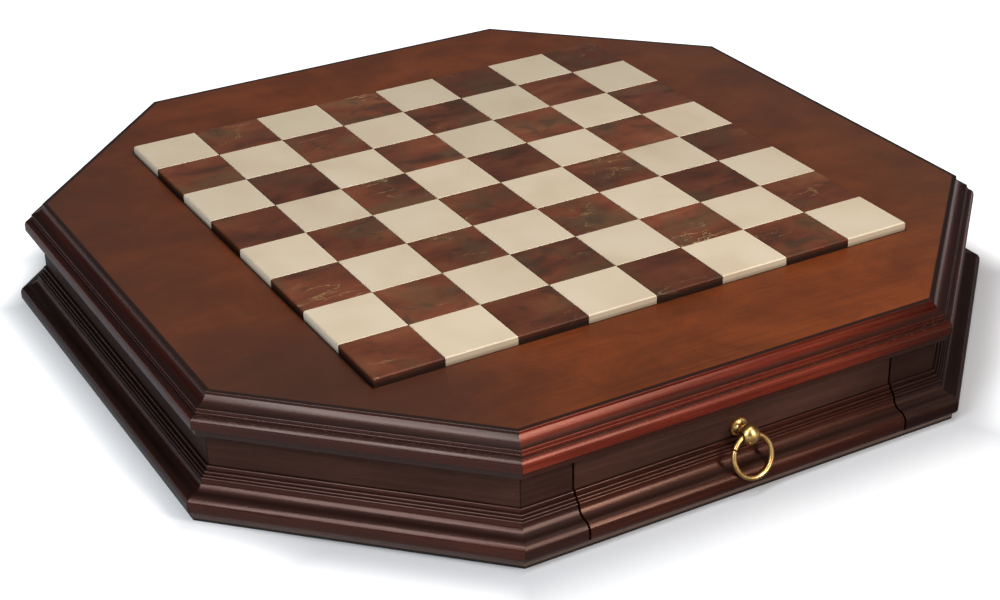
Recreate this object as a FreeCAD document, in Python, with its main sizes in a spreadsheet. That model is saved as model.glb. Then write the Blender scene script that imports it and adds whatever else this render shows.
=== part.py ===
import FreeCAD, Part
import math
import os
import Sketcher

# Octagonal chess case. A marble board is let into a veneered top, the top lies on a moulded
# octagonal carcase, and one drawer with a brass ring pull slides out of the front.
# Millimetres, origin on the underside at the centre, +Z up, the drawer faces -Y.

os.makedirs("parts", exist_ok=True)
doc = FreeCAD.newDocument("chess_case")

# Driving sizes, one cell each

driving_sizes = {
    # marble board
    "square_side": 40.0,
    "tile_joint": 0.2,
    "tile_thickness": 10.0,
    "board_rise": 4.6,
    "rim_trim": 1.7,
    "board_bevel": 0.6,
    "recess_fit": 0.3,
    # octagonal top, with the wood left between the board and a long or a diagonal side
    "side_margin": 66.8,
    "corner_margin": 19.5,
    "top_thickness": 16.0,
    # carcase
    "bottom_thickness": 3.2,
    "bottom_reach": 16.6,
    "wall_height": 44.8,
    "wall_thickness": 12.0,
    "frieze_reach": 4.5,
    "stile_width": 27.6,
    "block_leg": 13.0,
    # top moulding, from its flat edge down
    "top_margin": 2.2,
    "edge_drop": 1.6,
    "hollow_run": 5.6,
    "hollow_fall": 4.4,
    "hollow_depth": 0.8,
    "upper_lip": 0.6,
    "upper_lip_drop": 1.7,
    "lower_lip": 0.6,
    "lower_lip_drop": 1.3,
    "nose_round": 3.5,
    "bed_setback": 2.2,
    "bed_drop": 4.2,
    "arris_ease": 0.4,
    # base moulding, from its foot up
    "foot_round": 3.6,
    "base_band": 2.5,
    "shoulder_round": 4.7,
    "cove_radius": 5.3,
    "lip_ease": 0.7,
    "lowest_lip": 1.0,
    "lowest_lip_rise": 1.1,
    "middle_lip": 1.1,
    "middle_lip_rise": 1.4,
    "high_lip": 1.3,
    "high_lip_rise": 2.4,
    "highest_lip": 1.5,
    # drawer
    "drawer_gap": 0.6,
    "drawer_end_gap": 1.2,
    "side_play": 0.5,
    "runner_clearance": 0.3,
    "drawer_side_thickness": 8.0,
    "drawer_side_drop": 1.7,
    "drawer_back_thickness": 8.0,
    "drawer_bottom_thickness": 3.2,
    "groove_depth": 4.0,
    "groove_lift": 2.2,
    "groove_fit": 0.1,
    "lining_thickness": 1.2,
    "guide_width": 7.0,
    "guide_height": 14.0,
    "stop_depth": 15.0,
    "stop_width": 30.0,
    "stop_height": 18.0,
    "stop_place": 60.0,
    # ring pull
    "pull_margin": 0.3,
    "shank_radius": 1.6,
    "shank_length": 9.0,
    "shank_fit": 0.05,
    "bell_radius": 4.7,
    "bell_rim": 1.2,
    "neck_length": 1.0,
    "neck_radius": 2.3,
    "ball_standoff": 9.4,
    "ball_radius": 5.2,
    "ring_radius": 10.8,
    "wire_radius": 1.25,
    "ring_play": 0.15,
    "ring_rest_gap": 0.3,
    "ring_split": 0.8,
    "split_angle": 60.0,
    # bottom screws
    "screw_head_radius": 3.0,
    "screw_head_depth": 1.6,
    "screw_sink": 0.3,
    "screw_radius": 1.5,
    "screw_length": 12.0,
    "screw_tip": 3.0,
    "screw_fit": 0.1,
    "screw_slot": 0.9,
    "screw_slot_depth": 0.7,
    "screw_place": 70.0,
    # how far a cutting tool runs past the wood
    "overrun": 5.0,
}

sheet = doc.addObject("Spreadsheet::Sheet", "sizes")
for row, (alias, value) in enumerate(driving_sizes.items(), start=1):
    sheet.set(f"A{row}", alias.replace("_", " "))
    sheet.set(f"B{row}", str(value))
    sheet.setAlias(f"B{row}", alias)
doc.recompute()


class Measure:
    """A size worked out from the sheet: its number for drawing and its formula for binding."""

    def __init__(self, formula, number):
        self.formula = formula
        self.number = number

    def __add__(self, other):
        return Measure(f"({self.formula} + {other.formula})", self.number + other.number)

    def __sub__(self, other):
        return Measure(f"({self.formula} - {other.formula})", self.number - other.number)

    def __mul__(self, other):
        if isinstance(other, Measure):
            return Measure(f"({self.formula} * {other.formula})", self.number * other.number)
        return Measure(f"({self.formula} * ({other!r}))", self.number * other)

    def __truediv__(self, other):
        if isinstance(other, Measure):
            return Measure(f"({self.formula} / {other.formula})", self.number / other.number)
        return self * (1 / other)

    def __neg__(self):
        return self * -1


def size(alias):
    return Measure(f"sizes.{alias}", getattr(sheet, alias))


def root(measure):
    return Measure(f"sqrt({measure.formula})", math.sqrt(measure.number))


def angle_of_sine(ratio):
    return Measure(f"asin({ratio.formula})", math.degrees(math.asin(ratio.number)))


def angle_of_tangent(rise, run):
    return Measure(
        f"atan2({rise.formula}; {run.formula})",
        math.degrees(math.atan2(rise.number, run.number)),
    )


def sine_of(angle):
    return Measure(f"sin({angle.formula} * 1 deg)", math.sin(math.radians(angle.number)))


def cosine_of(angle):
    return Measure(f"cos({angle.formula} * 1 deg)", math.cos(math.radians(angle.number)))


zero = Measure("0", 0.0)
half = 0.5
full_turn = 360
quarter_turn = Measure("90", full_turn / 4)

# The octagon: long sides face the axes, diagonal sides lie between them

squares_per_side = 8
grid_half = size("square_side") * squares_per_side * half - size("tile_joint") * half
board_half = grid_half - size("rim_trim")

side_count = 8
side_turn = full_turn / side_count
mitre_slope = math.tan(math.radians(side_turn / 2))
diagonal_share = math.sqrt(half)

side_angles = {
    "right": 0,
    "back_right": side_turn,
    "back": 2 * side_turn,
    "back_left": 3 * side_turn,
    "left": 4 * side_turn,
    "front_left": 5 * side_turn,
    "front": 6 * side_turn,
    "front_right": 7 * side_turn,
}
long_sides = ("right", "back", "left", "front")

top_half_width = board_half + size("side_margin")
top_half_diagonal = board_half / diagonal_share + size("corner_margin")
long_half = top_half_diagonal / diagonal_share - top_half_width
diagonal_half = top_half_width / diagonal_share - top_half_diagonal

# Levels above the surface that the case stands on, and reaches beyond the edge of the top

foot_level = size("bottom_thickness")
wall_top = foot_level + size("wall_height")
case_top = wall_top + size("top_thickness")
bed_level = wall_top - size("bed_drop")
wall_inside = size("frieze_reach") - size("wall_thickness")
wall_middle = size("frieze_reach") - size("wall_thickness") * half

hollow_reach = size("top_margin") + size("hollow_run")
upper_lip_reach = hollow_reach + size("upper_lip")
lower_lip_reach = upper_lip_reach + size("lower_lip")
nose_reach = lower_lip_reach + size("nose_round")

highest_lip_reach = size("frieze_reach") + size("highest_lip")
high_lip_reach = highest_lip_reach + size("high_lip")
middle_lip_reach = high_lip_reach + size("middle_lip")
lowest_lip_reach = middle_lip_reach + size("lowest_lip")
cove_reach = lowest_lip_reach + size("cove_radius")
base_reach = cove_reach + size("shoulder_round")

band_low = foot_level + size("foot_round")
band_high = band_low + size("base_band")
shoulder_level = band_high + size("shoulder_round")
cove_top = shoulder_level + size("cove_radius")
lowest_lip_level = cove_top + size("lip_ease")
middle_lip_level = lowest_lip_level + size("lowest_lip_rise")
high_lip_level = middle_lip_level + size("middle_lip_rise")
base_top = high_lip_level + size("high_lip_rise")

front_face = -(top_half_width + size("frieze_reach"))
front_inside = front_face + size("wall_thickness")
back_inside = -front_inside


def side_apothem(side):
    return top_half_width if side in long_sides else top_half_diagonal


def side_half(side, reach):
    """Half the length of a side, measured that far outside the edge of the top."""
    edge_half = long_half if side in long_sides else diagonal_half
    return edge_half + reach * mitre_slope


def side_direction(side):
    turn = math.radians(side_angles[side])
    return round(math.cos(turn), 12), round(math.sin(turn), 12)


opening_half = side_half("front", size("frieze_reach")) - size("stile_width")
drawer_half = opening_half - size("drawer_end_gap")
drawer_width = drawer_half * 2
drawer_foot = foot_level + size("drawer_gap")
drawer_top = bed_level - size("drawer_gap")

# Drawing and fastening helpers

nodes = {}


def hand_in(node, part):
    part.Label = node
    nodes[node] = part


def bind_place(part, across, deep, up):
    for axis, measure in zip("xyz", (across, deep, up)):
        part.setExpression(f"Placement.Base.{axis}", measure.formula)


def stand_at_side(part, side, up):
    """Turns a part's own +X outwards and sets it on the middle of a side of the top's edge."""
    cosine, sine = side_direction(side)
    part.Placement = FreeCAD.Placement(
        FreeCAD.Vector(0, 0, 0), FreeCAD.Rotation(FreeCAD.Vector(0, 0, 1), side_angles[side])
    )
    apothem = side_apothem(side)
    bind_place(part, apothem * cosine, apothem * sine, up)


def new_body(name):
    return doc.addObject("PartDesign::Body", name)


def new_sketch(body, plane_role, name):
    sketch = body.newObject("Sketcher::SketchObject", name)
    plane = next(item for item in body.Origin.OriginFeatures if item.Role == plane_role)
    sketch.AttachmentSupport = (plane, [""])
    sketch.MapMode = "FlatFace"
    return sketch


def vector(point):
    return FreeCAD.Vector(point[0].number, point[1].number, 0)


def line_to(point):
    return point, None, None


def round_to(point, centre):
    """An arc that bulges outwards on an outline drawn clockwise."""
    return point, centre, -1


def hollow_to(point, centre):
    return point, centre, 1


def arc_segment(start, end, centre, turn):
    middle = vector(centre)
    ends = [vector(start), vector(end)] if turn > 0 else [vector(end), vector(start)]
    angles = [math.atan2(tip.y - middle.y, tip.x - middle.x) for tip in ends]
    circle = Part.Circle(middle, FreeCAD.Vector(0, 0, 1), (ends[0] - middle).Length)
    return Part.ArcOfCircle(circle, angles[0], angles[1])


def draw_outline(sketch, moves):
    """Draws a closed outline. Every point is bound to the sheet, and so is each arc's centre."""
    first = sketch.GeometryCount
    points = [move[0] for move in moves]
    count = len(points)
    entries = []
    exits = []
    for index in range(count):
        start = points[index - 1]
        end, centre, turn = moves[index]
        if centre is None:
            sketch.addGeometry(Part.LineSegment(vector(start), vector(end)), False)
        else:
            sketch.addGeometry(arc_segment(start, end, centre, turn), False)
        forward = centre is None or turn > 0
        entries.append((first + index, 1 if forward else 2))
        exits.append((first + index, 2 if forward else 1))
    constraints = []
    formulas = []
    for index in range(count):
        following = (index + 1) % count
        constraints.append(Sketcher.Constraint("Coincident", *exits[index], *entries[following]))
        formulas.append(None)
        for kind, measure in zip(("DistanceX", "DistanceY"), points[index]):
            constraints.append(Sketcher.Constraint(kind, -1, 1, *exits[index], measure.number))
            formulas.append(measure.formula)
        centre = moves[index][1]
        if centre is not None:
            across = centre[0]
            constraints.append(Sketcher.Constraint("DistanceX", -1, 1, first + index, 3, across.number))
            formulas.append(across.formula)
    indices = sketch.addConstraint(constraints)
    for index, formula in zip(indices, formulas):
        if formula is not None:
            sketch.setExpression(f"Constraints[{index}]", formula)


def draw_polygon(sketch, points):
    draw_outline(sketch, [line_to(point) for point in points])


def draw_circle(sketch, across, up, radius):
    place = FreeCAD.Vector(across.number, up.number, 0)
    circle = sketch.addGeometry(Part.Circle(place, FreeCAD.Vector(0, 0, 1), radius.number), False)
    indices = sketch.addConstraint([
        Sketcher.Constraint("DistanceX", -1, 1, circle, 3, across.number),
        Sketcher.Constraint("DistanceY", -1, 1, circle, 3, up.number),
        Sketcher.Constraint("Radius", circle, radius.number),
    ])
    for index, measure in zip(indices, (across, up, radius)):
        sketch.setExpression(f"Constraints[{index}]", measure.formula)


def pad(body, sketch, length, both_ways=False, downwards=False):
    feature = body.newObject("PartDesign::Pad", f"{sketch.Name}_pad")
    feature.Profile = sketch
    feature.SideType = "Symmetric" if both_ways else "One side"
    feature.Reversed = downwards
    feature.setExpression("Length", length.formula)
    doc.recompute()
    return feature


def pocket(body, sketch, depth, both_ways=False, upwards=False):
    before = body.Shape.Volume
    feature = body.newObject("PartDesign::Pocket", f"{sketch.Name}_pocket")
    feature.Profile = sketch
    feature.SideType = "Symmetric" if both_ways else "One side"
    feature.Reversed = upwards
    feature.setExpression("Length", depth.formula)
    doc.recompute()
    if body.Shape.Volume >= before:
        raise RuntimeError(f"{feature.Name} cuts nothing")
    return feature


def board(name, low, spans):
    """A plain sawn board from its lowest corner and its three spans."""
    box = doc.addObject("Part::Box", name)
    for side_name, span in zip(("Length", "Width", "Height"), spans):
        box.setExpression(side_name, span.formula)
    bind_place(box, *low)
    return box


def compound(name, parts):
    group = doc.addObject("Part::Compound", name)
    group.Links = parts
    return group


def cut(name, base, tool):
    result = doc.addObject("Part::Cut", name)
    result.Base = base
    result.Tool = tool
    return result


def octagon(reach):
    """The eight corners of the top's outline, moved outwards by a reach."""
    width = top_half_width + reach
    length = side_half("right", reach)
    quarter = [(width, -length), (width, length), (length, width), (-length, width)]
    return quarter + [(-across, -deep) for across, deep in quarter]


# Marble board: tiles with hairline joints, trimmed and bevelled together round the board's outer edge

tile_side = size("square_side") - size("tile_joint")
tile_base = case_top + size("board_rise") - size("tile_thickness")

tiles = {"dark_squares": [], "light_squares": []}
for column in range(squares_per_side):
    for rank in range(squares_per_side):
        low_corner = (
            size("square_side") * column - grid_half,
            size("square_side") * rank - grid_half,
            tile_base,
        )
        tile = board(f"tile_{column}_{rank}", low_corner, (tile_side, tile_side, size("tile_thickness")))
        colour = "dark_squares" if (column + rank) % 2 == 0 else "light_squares"
        tiles[colour].append(tile)

slab = new_body("board_slab")
slab_sketch = new_sketch(slab, "XY_Plane", "slab_outline")
draw_polygon(slab_sketch, [
    (-board_half, -board_half),
    (board_half, -board_half),
    (board_half, board_half),
    (-board_half, board_half),
])
slab_pad = pad(slab, slab_sketch, size("tile_thickness"))
top_edges = [
    f"Edge{index}"
    for index, edge in enumerate(slab_pad.Shape.Edges, start=1)
    if edge.BoundBox.ZMin > sheet.tile_thickness * half
]
slab_bevel = slab.newObject("PartDesign::Chamfer", "slab_bevel")
slab_bevel.Base = (slab_pad, top_edges)
slab_bevel.setExpression("Size", "sizes.board_bevel")
bind_place(slab, zero, zero, tile_base)
doc.recompute()

for colour, colour_tiles in tiles.items():
    bevelled = doc.addObject("Part::Common", f"{colour}_bevelled")
    bevelled.Base = compound(f"{colour}_sawn", colour_tiles)
    bevelled.Tool = slab
    hand_in(colour, bevelled)

# Top panel with the square recess for the board

panel = new_body("top_board")
panel_sketch = new_sketch(panel, "XY_Plane", "top_outline")
draw_polygon(panel_sketch, octagon(zero))
pad(panel, panel_sketch, size("top_thickness"), downwards=True)
recess_half = board_half + size("recess_fit")
recess_sketch = new_sketch(panel, "XY_Plane", "recess_outline")
draw_polygon(recess_sketch, [
    (-recess_half, -recess_half),
    (recess_half, -recess_half),
    (recess_half, recess_half),
    (-recess_half, recess_half),
])
pocket(panel, recess_sketch, size("tile_thickness") - size("board_rise"))
bind_place(panel, zero, zero, case_top)
hand_in("top_panel", panel)

# Moulding outlines, drawn clockwise with the reach across and the level upwards


def lip(reach, level, ease):
    """A ledge that runs outwards and turns down over an eased edge."""
    return [
        line_to((reach - ease, level)),
        round_to((reach, level - ease), (reach - ease, level - ease)),
    ]


def under_edge(reach, level):
    """A face that runs down and turns inwards under an eased edge."""
    ease = size("arris_ease")
    return [
        line_to((reach, level + ease)),
        round_to((reach - ease, level), (reach - ease, level + ease)),
    ]


def hollow_centre(hollow_top):
    """The centre of the shallow hollow under the top's edge, found from its chord and its depth."""
    run = size("hollow_run")
    fall = size("hollow_fall")
    depth = size("hollow_depth")
    chord = root(run * run + fall * fall)
    radius = chord * chord / depth / 8 + depth * half
    lift = (radius - depth) / chord
    return size("top_margin") + run * half + fall * lift, hollow_top - fall * half + run * lift


def top_moulding_outline():
    ease = size("arris_ease")
    hollow_top = case_top - size("edge_drop")
    hollow_level = hollow_top - size("hollow_fall")
    lip_level = hollow_level - size("upper_lip_drop")
    nose_top = lip_level - size("lower_lip_drop")
    nose_level = nose_top - size("nose_round")
    bed_reach = nose_reach - size("bed_setback")
    return [
        line_to((zero, case_top)),
        *lip(size("top_margin"), case_top, ease),
        line_to((size("top_margin"), hollow_top)),
        hollow_to((hollow_reach, hollow_level), hollow_centre(hollow_top)),
        *lip(upper_lip_reach, hollow_level, ease),
        line_to((upper_lip_reach, lip_level)),
        *lip(lower_lip_reach, lip_level, ease),
        line_to((lower_lip_reach, nose_top)),
        round_to((nose_reach, nose_level), (lower_lip_reach, nose_level)),
        *under_edge(nose_reach, wall_top),
        line_to((bed_reach, wall_top)),
        *under_edge(bed_reach, bed_level),
        line_to((size("frieze_reach"), bed_level)),
        line_to((size("frieze_reach"), wall_top)),
        line_to((zero, wall_top)),
    ]


def base_moulding_outline(foot):
    ease = size("lip_ease")
    foot_reach = base_reach - (band_low - foot)
    return [
        line_to((size("frieze_reach"), base_top)),
        *lip(highest_lip_reach, base_top, ease),
        line_to((highest_lip_reach, high_lip_level)),
        *lip(high_lip_reach, high_lip_level, ease),
        line_to((high_lip_reach, middle_lip_level)),
        *lip(middle_lip_reach, middle_lip_level, ease),
        line_to((middle_lip_reach, lowest_lip_level)),
        *lip(lowest_lip_reach, lowest_lip_level, ease),
        hollow_to((cove_reach, shoulder_level), (cove_reach, cove_top)),
        round_to((base_reach, band_high), (cove_reach, band_high)),
        line_to((base_reach, band_low)),
        round_to((foot_reach, foot), (foot_reach, band_low)),
        line_to((size("frieze_reach"), foot)),
    ]


def mitre_triangle(side, back, front, end):
    """The corner waste beyond a mitre, at the +1 or -1 end of a side's strip."""
    inner = back - size("overrun")
    outer = front + size("overrun")
    far = side_half(side, outer) * end
    return [(inner, side_half(side, inner) * end), (outer, far), (inner, far)]


def moulding_strip(node, side, outline, back, front, keep=None):
    """A strip of moulding, mitred at both ends, or only its end beside the drawer."""
    strip = new_body(f"{node}_strip")
    profile = new_sketch(strip, "XZ_Plane", f"{node}_profile")
    draw_outline(profile, outline)
    pad(strip, profile, side_half(side, front) * 2, both_ways=True)
    waste = new_sketch(strip, "XY_Plane", f"{node}_ends")
    ends = (1, -1) if keep is None else (keep,)
    for end in ends:
        draw_polygon(waste, mitre_triangle(side, back, front, end))
    if keep is not None:
        inner = back - size("overrun")
        outer = front + size("overrun")
        near = opening_half * keep
        far = (side_half(side, front) + size("overrun")) * -keep
        draw_polygon(waste, [(inner, near), (outer, near), (outer, far), (inner, far)])
    pocket(strip, waste, (case_top + size("overrun")) * 2, both_ways=True)
    stand_at_side(strip, side, zero)
    hand_in(node, strip)


for side_name in side_angles:
    moulding_strip(f"top_moulding_{side_name}", side_name, top_moulding_outline(), zero, nose_reach)

front_ends = {"right": 1, "left": -1}
carcase_outline = base_moulding_outline(foot_level)
for side_name in side_angles:
    if side_name != "front":
        node_name = f"base_moulding_{side_name}"
        moulding_strip(node_name, side_name, carcase_outline, size("frieze_reach"), base_reach)
for hand, end in front_ends.items():
    node_name = f"base_moulding_{hand}_of_drawer"
    moulding_strip(node_name, "front", carcase_outline, size("frieze_reach"), base_reach, keep=end)

# Walls: mitred frieze boards, with a pilot hole for each screw of the bottom panel

wall_screws = {}
stile_screw = (opening_half + side_half("front", wall_middle)) * half
for side_name in side_angles:
    if side_name == "front":
        wall_screws[side_name] = [stile_screw, -stile_screw]
    elif side_name in long_sides:
        wall_screws[side_name] = [size("screw_place"), -size("screw_place")]
    else:
        wall_screws[side_name] = [zero]


def wall(node, side, corners, screw_places):
    plank = new_body(f"{node}_plank")
    plank_sketch = new_sketch(plank, "XY_Plane", f"{node}_outline")
    draw_polygon(plank_sketch, corners)
    pad(plank, plank_sketch, size("wall_height"))
    pilot_sketch = new_sketch(plank, "XY_Plane", f"{node}_pilots")
    for place in screw_places:
        draw_circle(pilot_sketch, wall_middle, place, size("screw_radius") + size("screw_fit"))
    pilot_depth = size("screw_sink") + size("screw_length") + size("screw_fit") - foot_level
    pocket(plank, pilot_sketch, pilot_depth, upwards=True)
    stand_at_side(plank, side, foot_level)
    hand_in(node, plank)


for side_name in side_angles:
    inside_half = side_half(side_name, wall_inside)
    outside_half = side_half(side_name, size("frieze_reach"))
    if side_name != "front":
        mitred = [
            (wall_inside, -inside_half),
            (size("frieze_reach"), -outside_half),
            (size("frieze_reach"), outside_half),
            (wall_inside, inside_half),
        ]
        wall(f"wall_{side_name}", side_name, mitred, wall_screws[side_name])
        continue
    for hand, end in front_ends.items():
        stile = [
            (wall_inside, opening_half * end),
            (size("frieze_reach"), opening_half * end),
            (size("frieze_reach"), outside_half * end),
            (wall_inside, inside_half * end),
        ]
        wall(f"front_stile_{hand}", side_name, stile, [stile_screw * end])

rail_low = (-opening_half, front_face, bed_level)
hand_in("front_rail", board(
    "rail_above_drawer", rail_low, (opening_half * 2, size("wall_thickness"), size("bed_drop"))
))

# Glue blocks in the corners between the walls

inner_width = top_half_width + wall_inside
inner_length = side_half("right", wall_inside)
leg = size("block_leg")
slanted_leg = leg * diagonal_share
blocks = new_body("corner_block_set")
block_sketch = new_sketch(blocks, "XY_Plane", "corner_block_outlines")
for right in (1, -1):
    for back in (1, -1):
        draw_polygon(block_sketch, [
            (inner_width * right, inner_length * back),
            (inner_width * right, (inner_length - leg) * back),
            ((inner_width - slanted_leg) * right, (inner_length + slanted_leg) * back),
        ])
        draw_polygon(block_sketch, [
            (inner_length * right, inner_width * back),
            ((inner_length - leg) * right, inner_width * back),
            ((inner_length + slanted_leg) * right, (inner_width - slanted_leg) * back),
        ])
pad(blocks, block_sketch, size("wall_height"))
bind_place(blocks, zero, zero, foot_level)
hand_in("corner_blocks", blocks)

# Bottom panel and the countersunk screws that hold it to the walls

screw_sites = []
for side_name, places in wall_screws.items():
    cosine, sine = side_direction(side_name)
    radius = side_apothem(side_name) + wall_middle
    for place in places:
        screw_sites.append((radius * cosine - place * sine, radius * sine + place * cosine))


def turned_stack(name, site, level, sections):
    """Cylinders and cones stacked upwards on one axis and joined."""
    stack = []
    for index, (low_radius, high_radius, height) in enumerate(sections):
        if low_radius is high_radius:
            section = doc.addObject("Part::Cylinder", f"{name}_{index}")
            section.setExpression("Radius", low_radius.formula)
        else:
            section = doc.addObject("Part::Cone", f"{name}_{index}")
            section.setExpression("Radius1", low_radius.formula)
            section.setExpression("Radius2", high_radius.formula)
        section.setExpression("Height", height.formula)
        bind_place(section, site[0], site[1], level)
        level = level + height
        stack.append(section)
    joined = doc.addObject("Part::MultiFuse", name)
    joined.Shapes = stack
    return joined


head_radius = size("screw_head_radius")
shank_radius = size("screw_radius")
sink_radius = head_radius + size("screw_fit")
hole_radius = shank_radius + size("screw_fit")
plain_length = size("screw_length") - size("screw_head_depth") - size("screw_tip")
through_length = foot_level - size("screw_sink") - size("screw_head_depth") + size("overrun")

screws = []
screw_holes = []
for number, site in enumerate(screw_sites, start=1):
    turned_screw = turned_stack(f"screw_{number}", site, size("screw_sink"), [
        (head_radius, shank_radius, size("screw_head_depth")),
        (shank_radius, shank_radius, plain_length),
        (shank_radius, zero, size("screw_tip")),
    ])
    slot_low = (
        site[0] - head_radius - size("overrun"),
        site[1] - size("screw_slot") * half,
        size("screw_sink") - size("overrun"),
    )
    slot_spans = (
        (head_radius + size("overrun")) * 2,
        size("screw_slot"),
        size("screw_slot_depth") + size("overrun"),
    )
    slot = board(f"screw_slot_{number}", slot_low, slot_spans)
    screws.append(cut(f"slotted_screw_{number}", turned_screw, slot))
    screw_holes.append(turned_stack(f"screw_hole_{number}", site, -size("overrun"), [
        (sink_radius, sink_radius, size("overrun") + size("screw_sink")),
        (sink_radius, hole_radius, size("screw_head_depth")),
        (hole_radius, hole_radius, through_length),
    ]))
hand_in("bottom_screws", compound("screw_set", screws))

bottom = new_body("bottom_board")
bottom_sketch = new_sketch(bottom, "XY_Plane", "bottom_outline")
draw_polygon(bottom_sketch, octagon(size("bottom_reach")))
pad(bottom, bottom_sketch, foot_level)
hand_in("bottom_panel", cut("drilled_bottom", bottom, compound("screw_hole_set", screw_holes)))

# Drawer guides and stops on the bottom panel

box_half = drawer_half - size("side_play")
box_rear = back_inside - size("stop_depth") - size("runner_clearance")
guide_start = front_inside + leg
guide_length = back_inside - size("stop_depth") - guide_start
guide_spans = (size("guide_width"), guide_length, size("guide_height"))
guide_corners = {"left": -drawer_half - size("guide_width"), "right": drawer_half}
for hand, across in guide_corners.items():
    strip_board = board(f"guide_strip_{hand}", (across, guide_start, foot_level), guide_spans)
    hand_in(f"drawer_guide_{hand}", strip_board)

stops = []
stop_spans = (size("stop_width"), size("stop_depth"), size("stop_height"))
for hand, end in front_ends.items():
    stop_low = (
        size("stop_place") * end - size("stop_width") * half,
        back_inside - size("stop_depth"),
        foot_level,
    )
    stops.append(board(f"stop_{hand}", stop_low, stop_spans))
hand_in("drawer_stops", compound("stop_pair", stops))

# Drawer front with its length of base moulding, and a blind hole for the pull's shank

pull_height = base_top + size("pull_margin") + size("bell_radius")
shank_room = size("shank_length") + size("shank_fit")
front = new_body("drawer_front_board")
front_sketch = new_sketch(front, "XZ_Plane", "drawer_front_outline")
draw_polygon(front_sketch, [
    (wall_inside, drawer_foot),
    (size("frieze_reach"), drawer_foot),
    (size("frieze_reach"), drawer_top),
    (wall_inside, drawer_top),
])
pad(front, front_sketch, drawer_width, both_ways=True)
shank_sketch = new_sketch(front, "YZ_Plane", "shank_hole")
draw_circle(shank_sketch, zero, pull_height, size("shank_radius") + size("shank_fit"))
shank_sketch.setExpression("AttachmentOffset.Base.z", (size("frieze_reach") - shank_room).formula)
pocket(front, shank_sketch, shank_room + size("overrun"), upwards=True)
stand_at_side(front, "front", zero)
hand_in("drawer_front", front)

drawer_moulding = new_body("drawer_front_strip")
drawer_profile = new_sketch(drawer_moulding, "XZ_Plane", "drawer_front_profile")
draw_outline(drawer_profile, base_moulding_outline(drawer_foot))
pad(drawer_moulding, drawer_profile, drawer_width, both_ways=True)
stand_at_side(drawer_moulding, "front", zero)
hand_in("drawer_front_moulding", drawer_moulding)

# Drawer box: grooved sides, a back, a thin bottom in the grooves and a felt lining

box_length = box_rear - front_inside
box_middle = (box_rear + front_inside) * half
side_foot = foot_level + size("runner_clearance")
side_top = drawer_top - size("drawer_side_drop")
side_inside = box_half - size("drawer_side_thickness")
groove_inside = side_inside + size("groove_depth")
groove_low = side_foot + size("groove_lift")
groove_high = groove_low + size("drawer_bottom_thickness") + size("groove_fit") * 2
for hand, end in front_ends.items():
    drawer_side = new_body(f"drawer_side_board_{hand}")
    side_sketch = new_sketch(drawer_side, "XZ_Plane", f"drawer_side_profile_{hand}")
    draw_polygon(side_sketch, [
        (box_half * end, side_foot),
        (box_half * end, side_top),
        (side_inside * end, side_top),
        (side_inside * end, groove_high),
        (groove_inside * end, groove_high),
        (groove_inside * end, groove_low),
        (side_inside * end, groove_low),
        (side_inside * end, side_foot),
    ])
    pad(drawer_side, side_sketch, box_length, both_ways=True)
    bind_place(drawer_side, zero, box_middle, zero)
    hand_in(f"drawer_side_{hand}", drawer_side)

bottom_half = groove_inside - size("groove_fit")
bottom_level = groove_low + size("groove_fit")
bottom_top = bottom_level + size("drawer_bottom_thickness")
hand_in("drawer_bottom", board(
    "drawer_bottom_board",
    (-bottom_half, front_inside, bottom_level),
    (bottom_half * 2, box_length, size("drawer_bottom_thickness")),
))
back_low = (-side_inside, box_rear - size("drawer_back_thickness"), bottom_top)
hand_in("drawer_back", board(
    "drawer_back_board", back_low, (side_inside * 2, size("drawer_back_thickness"), side_top - bottom_top)
))
lining_length = box_length - size("drawer_back_thickness")
lining_half = side_inside - size("groove_fit")
hand_in("drawer_lining", board(
    "felt_sheet",
    (-lining_half, front_inside, bottom_top),
    (lining_half * 2, lining_length, size("lining_thickness")),
))

# Ring pull: a turned post with a drilled ball, drawn along its axis from the drawer's face

ball_end = size("ball_standoff") + size("ball_radius")
ball_start = size("ball_standoff") - root(
    size("ball_radius") * size("ball_radius") - size("neck_radius") * size("neck_radius")
)
bell_length = ball_start - size("neck_length")
bell_run = bell_length - size("bell_rim")
bell_fall = size("bell_radius") - size("neck_radius")
bell_curve = (bell_run * bell_run + bell_fall * bell_fall) / (bell_fall * 2)
post = new_body("turned_post")
post_sketch = new_sketch(post, "XZ_Plane", "post_outline")
draw_outline(post_sketch, [
    line_to((-size("shank_length"), zero)),
    line_to((-size("shank_length"), size("shank_radius"))),
    line_to((zero, size("shank_radius"))),
    line_to((zero, size("bell_radius"))),
    line_to((size("bell_rim"), size("bell_radius"))),
    hollow_to(
        (bell_length, size("neck_radius")),
        (bell_length, size("neck_radius") + bell_curve),
    ),
    line_to((ball_start, size("neck_radius"))),
    round_to((ball_end, zero), (size("ball_standoff"), zero)),
])
turning = post.newObject("PartDesign::Revolution", "post_turning")
turning.Profile = post_sketch
turning.ReferenceAxis = (post_sketch, ["H_Axis"])
turning.Angle = full_turn
doc.recompute()

# The hole lets the curved wire lie in it at any swing of the ring
wire_drop = size("ring_radius") - root(
    size("ring_radius") * size("ring_radius") - size("ball_radius") * size("ball_radius")
)
ring_hole_radius = size("wire_radius") + wire_drop + size("ring_play")
ring_hole_sketch = new_sketch(post, "XZ_Plane", "ring_hole")
draw_circle(ring_hole_sketch, size("ball_standoff"), zero, ring_hole_radius)
pocket(post, ring_hole_sketch, (size("ball_radius") + size("overrun")) * 2, both_ways=True)
stand_at_side(post, "front", zero)
bind_place(post, zero, front_face, pull_height)
hand_in("pull_post", post)

# The ring hangs from the ball and leans on the shoulder of the drawer's moulding

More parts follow.
